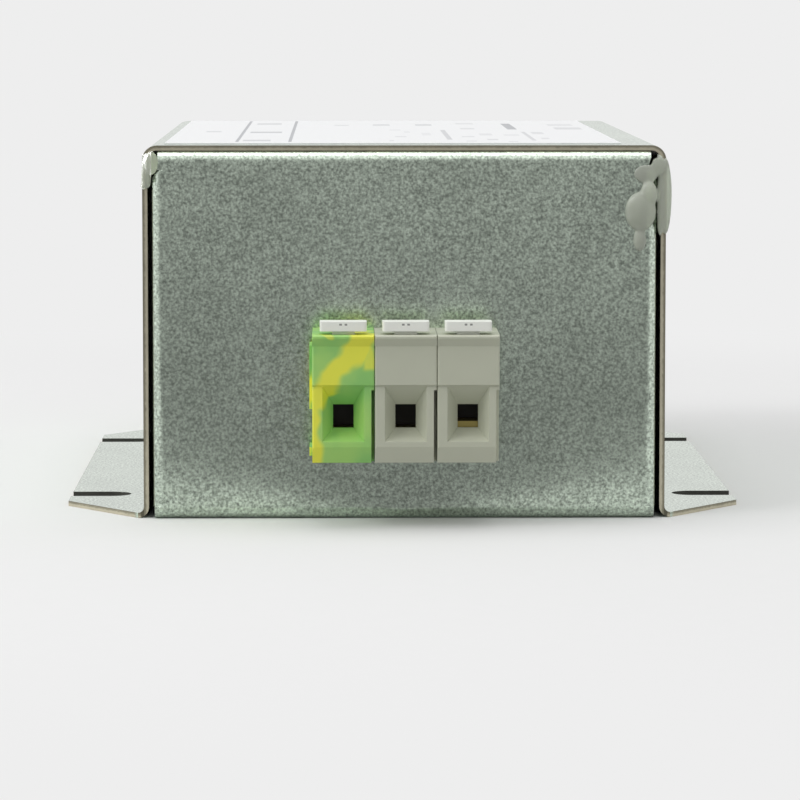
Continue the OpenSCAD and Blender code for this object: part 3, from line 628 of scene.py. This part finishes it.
class FILTER_OT_sealant(Operator):
    """Melts the two hot-melt beads over the seams at the cover's upper corners"""

    bl_idname = "filter.sealant"
    bl_label = "Sealant"

    def execute(self, context):
        wax = finished("hot_melt", hot_melt, context.scene.filter_finish)
        large = [
            ((31.5, -60.0, 41.2), (2.1, 1.1, 2.7)),
            ((32.6, -60.0, 43.5), (1.2, 0.9, 1.8)),
            ((31.4, -60.0, 37.4), (0.9, 0.7, 1.6)),
            ((32.2, -60.0, 46.2), (1.7, 0.3, 1.3)),
            ((33.7, -59.4, 47.4), (1.1, 0.8, 1.5)),
            ((34.2, -59.2, 42.2), (0.6, 0.7, 4.4)),
            ((34.9, -58.9, 43.2), (0.85, 0.7, 5.2)),
            ((35.0, -58.4, 43.6), (0.8, 1.0, 4.0)),
        ]
        bead = melted_bead("sealant_right", large, wax)
        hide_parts("sealant_bead")
        small = [
            ((-33.7, -59.3, 47.7), (0.95, 0.5, 1.6)),
            ((-34.4, -58.9, 47.2), (0.7, 0.45, 1.9)),
            ((-34.7, -58.85, 45.9), (0.45, 0.4, 1.7)),
            ((-34.75, -58.9, 44.6), (0.5, 0.45, 0.55)),
            ((-34.1, -58.9, 45.9), (0.4, 0.4, 1.6)),
        ]
        melted_bead("sealant_left", small, wax)
        return {"FINISHED"}


class FILTER_OT_circuit(Operator):
    """Finishes the filter circuit inside the case"""

    bl_idname = "filter.circuit"
    bl_label = "Circuit"

    def execute(self, context):
        finishes = (
            ("polyester_film", plain_plastic, ("EDE6C8", 0.4), ["insulating_liner"]),
            ("solder_mask", plain_plastic, ("245C38", 0.35), ["circuit_board"]),
            (
                "zinc_plated_hardware",
                plain_metal,
                ("B9BBB6", 0.3),
                ["board_studs", "board_nuts", "pe_studs", "pe_nuts"],
            ),
            ("white_nylon", plain_plastic, ("ECECE6", 0.45), ["board_spacers"]),
            ("epoxy_coated_ferrite", plain_plastic, ("33523D", 0.4), ["choke_core"]),
            ("black_polyester", plain_plastic, ("1E1E20", 0.4), ["choke_carrier"]),
            ("enamelled_copper", plain_metal, ("B85F30", 0.25), ["choke_winding_l", "choke_winding_n"]),
            (
                "yellow_box_capacitor",
                plain_plastic,
                ("D8C84F", 0.3),
                ["line_x_capacitor", "load_x_capacitor"],
            ),
            ("blue_box_capacitor", plain_plastic, ("3A6FB8", 0.3), ["y_capacitor_l", "y_capacitor_n"]),
            ("lacquered_ceramic", plain_plastic, ("CDB38A", 0.4), ["bleed_resistor"]),
            (
                "striped_insulation",
                striped_insulation,
                ("3E8F3A", "E6D62E"),
                ["line_pe_wire", "load_pe_wire"],
            ),
            ("blue_insulation", plain_plastic, ("2F6DB5", 0.45), ["line_n_wire", "load_n_wire"]),
            ("brown_insulation", plain_plastic, ("6B3F24", 0.45), ["line_l_wire", "load_l_wire"]),
            ("tinned_lug", plain_metal, ("BFBDB4", 0.32), ["pe_lugs"]),
        )
        for name, build, values, nodes in finishes:
            wear(finished(name, build, *values), *nodes)
        return {"FINISHED"}


# softboxes: name, place, target, width and height in metres, and brightness of the face
SOFTBOXES = (
    ("key", (-0.8, -0.55, 0.8), (0, -0.05, 0.02), (0.5, 0.5), 3.2),
    ("overhead", (0.0, 0.05, 1.1), (0, 0, 0), (0.8, 0.8), 1.5),
    ("side", (-0.9, -0.1, 0.42), (0, -0.05, 0.03), (0.5, 0.8), 1.6),
)


class FILTER_OT_stage(Operator):
    """Sets up the floor, the world, the lights and the camera"""

    bl_idname = "filter.stage"
    bl_label = "Stage"

    def execute(self, context):
        stage = context.scene.filter_stage
        scene = context.scene
        scene.view_settings.view_transform = "Standard"
        self.lay_floor(scene, stage)
        self.light_world(scene, stage)
        for name, place, target, size, brightness in SOFTBOXES:
            data = bpy.data.lights.new(name, "AREA")
            data.shape = "RECTANGLE"
            data.size, data.size_y = size
            data.energy = brightness * math.pi * size[0] * size[1]
            lamp = bpy.data.objects.new(name, data)
            lamp.location = place
            lamp.rotation_euler = (Vector(target) - Vector(place)).to_track_quat("-Z", "Y").to_euler()
            scene.collection.objects.link(lamp)
        data = bpy.data.cameras.new("camera")
        data.sensor_width = 36
        data.lens = stage.camera_lens
        camera = bpy.data.objects.new("camera", data)
        camera.location = stage.camera_place
        camera.rotation_euler = (math.radians(90) - stage.camera_pitch, 0, -stage.camera_yaw)
        scene.collection.objects.link(camera)
        scene.camera = camera
        return {"FINISHED"}

    def seen(self, tree):
        """Two fields: 1 for camera, reflected and refracted rays, and 1 for the last two alone."""
        path = add_node(tree, "LightPath")
        reflected = Field(tree, path.outputs["Is Glossy Ray"]).most(path.outputs["Is Transmission Ray"])
        return reflected.most(path.outputs["Is Camera Ray"]), reflected

    def lay_floor(self, scene, stage):
        bm = bmesh.new()
        bmesh.ops.create_grid(bm, x_segments=1, y_segments=1, size=6.0)
        mesh = bpy.data.meshes.new("floor")
        bm.to_mesh(mesh)
        bm.free()
        floor = bpy.data.objects.new("floor", mesh)
        scene.collection.objects.link(floor)
        mesh.materials.append(finished("seamless_paper", self.paper, stage))

    def paper(self, tree, stage):
        """Seamless paper that keeps the object's shadow and fades into the backdrop's tone away from it."""
        x, y, _ = place_fields(tree)
        ahead = y * -1.0 - PANEL_Y
        reach = (x * x + ahead * ahead).worked("SQRT")
        frontness = ahead.worked("DIVIDE", reach + 0.001)
        seen, reflected = self.seen(tree)
        # towards the camera the studio is unlit, so metal that faces it reflects a darker floor
        dark = frontness.step(0.6, 0.93) * reflected
        tone = dark * reach.step(0.0, 1.0, 0.66, 0.42) * -1.0 + 1.0
        grain = mottle(tree, 3 * MM)
        paper = add_node(tree, "BsdfDiffuse", {"Color": shades(tree, grain, stage.paper, 0.006)})
        dull = add_node(tree, "BsdfDiffuse", {"Color": linear("B0B0AE")})
        near = add_node(tree, "MixShader", {0: seen, 1: dull, 2: paper})
        glow = add_node(tree, "Emission", {"Color": (1, 1, 1, 1), "Strength": tone * stage.backdrop})
        far = (x * x + y * y).worked("SQRT").step(0.13, 0.27) * seen
        far = far.most(dark)
        return add_node(tree, "MixShader", {0: far, 1: near, 2: glow})

    def light_world(self, scene, stage):
        world = bpy.data.worlds.new("studio")
        scene.world = world
        tree = new_tree(world)
        parts = add_node(tree, "SeparateXYZ", {0: add_node(tree, "TexCoord").outputs["Generated"]})
        frontness = Field(tree, parts.outputs["Y"]) * -1.0
        height = Field(tree, parts.outputs["Z"])
        seen, reflected = self.seen(tree)
        room = frontness.step(0.6, 0.93, 1.0, 0.52) * height.step(0.1, 0.7, stage.backdrop, 1.3)
        path = add_node(tree, "LightPath")
        shown = room * reflected + Field(tree, path.outputs["Is Camera Ray"]) * stage.backdrop
        strength = shown + (seen * -1.0 + 1.0) * stage.fill
        background = add_node(tree, "Background", {"Color": (1, 1, 1, 1), "Strength": strength})
        add_node(tree, "OutputWorld", {"Surface": background})


class FILTER_PT_panel(Panel):
    """Lists the filter's steps and settings"""

    bl_label = "Line filter"
    bl_idname = "FILTER_PT_panel"
    bl_space_type = "VIEW_3D"
    bl_region_type = "UI"
    bl_category = "Line filter"

    def draw(self, context):
        for step in STEPS:
            self.layout.operator(step.bl_idname)
        for settings in (context.scene.filter_finish, context.scene.filter_stage):
            for name in settings.__annotations__:
                self.layout.prop(settings, name)


STEPS = (
    FILTER_OT_case,
    FILTER_OT_label,
    FILTER_OT_terminals,
    FILTER_OT_clamps,
    FILTER_OT_sealant,
    FILTER_OT_circuit,
    FILTER_OT_stage,
)
CLASSES = (FilterFinish, FilterStage, *STEPS, FILTER_PT_panel)


def register():
    for cls in CLASSES:
        bpy.utils.register_class(cls)
    bpy.types.Scene.filter_finish = PointerProperty(type=FilterFinish)
    bpy.types.Scene.filter_stage = PointerProperty(type=FilterStage)


def unregister():
    del bpy.types.Scene.filter_stage
    del bpy.types.Scene.filter_finish
    for cls in reversed(CLASSES):
        bpy.utils.unregister_class(cls)


def main():
    register()
    for step in STEPS:
        group, name = step.bl_idname.split(".")
        getattr(getattr(bpy.ops, group), name)()


if __name__ == "__main__":
    main()
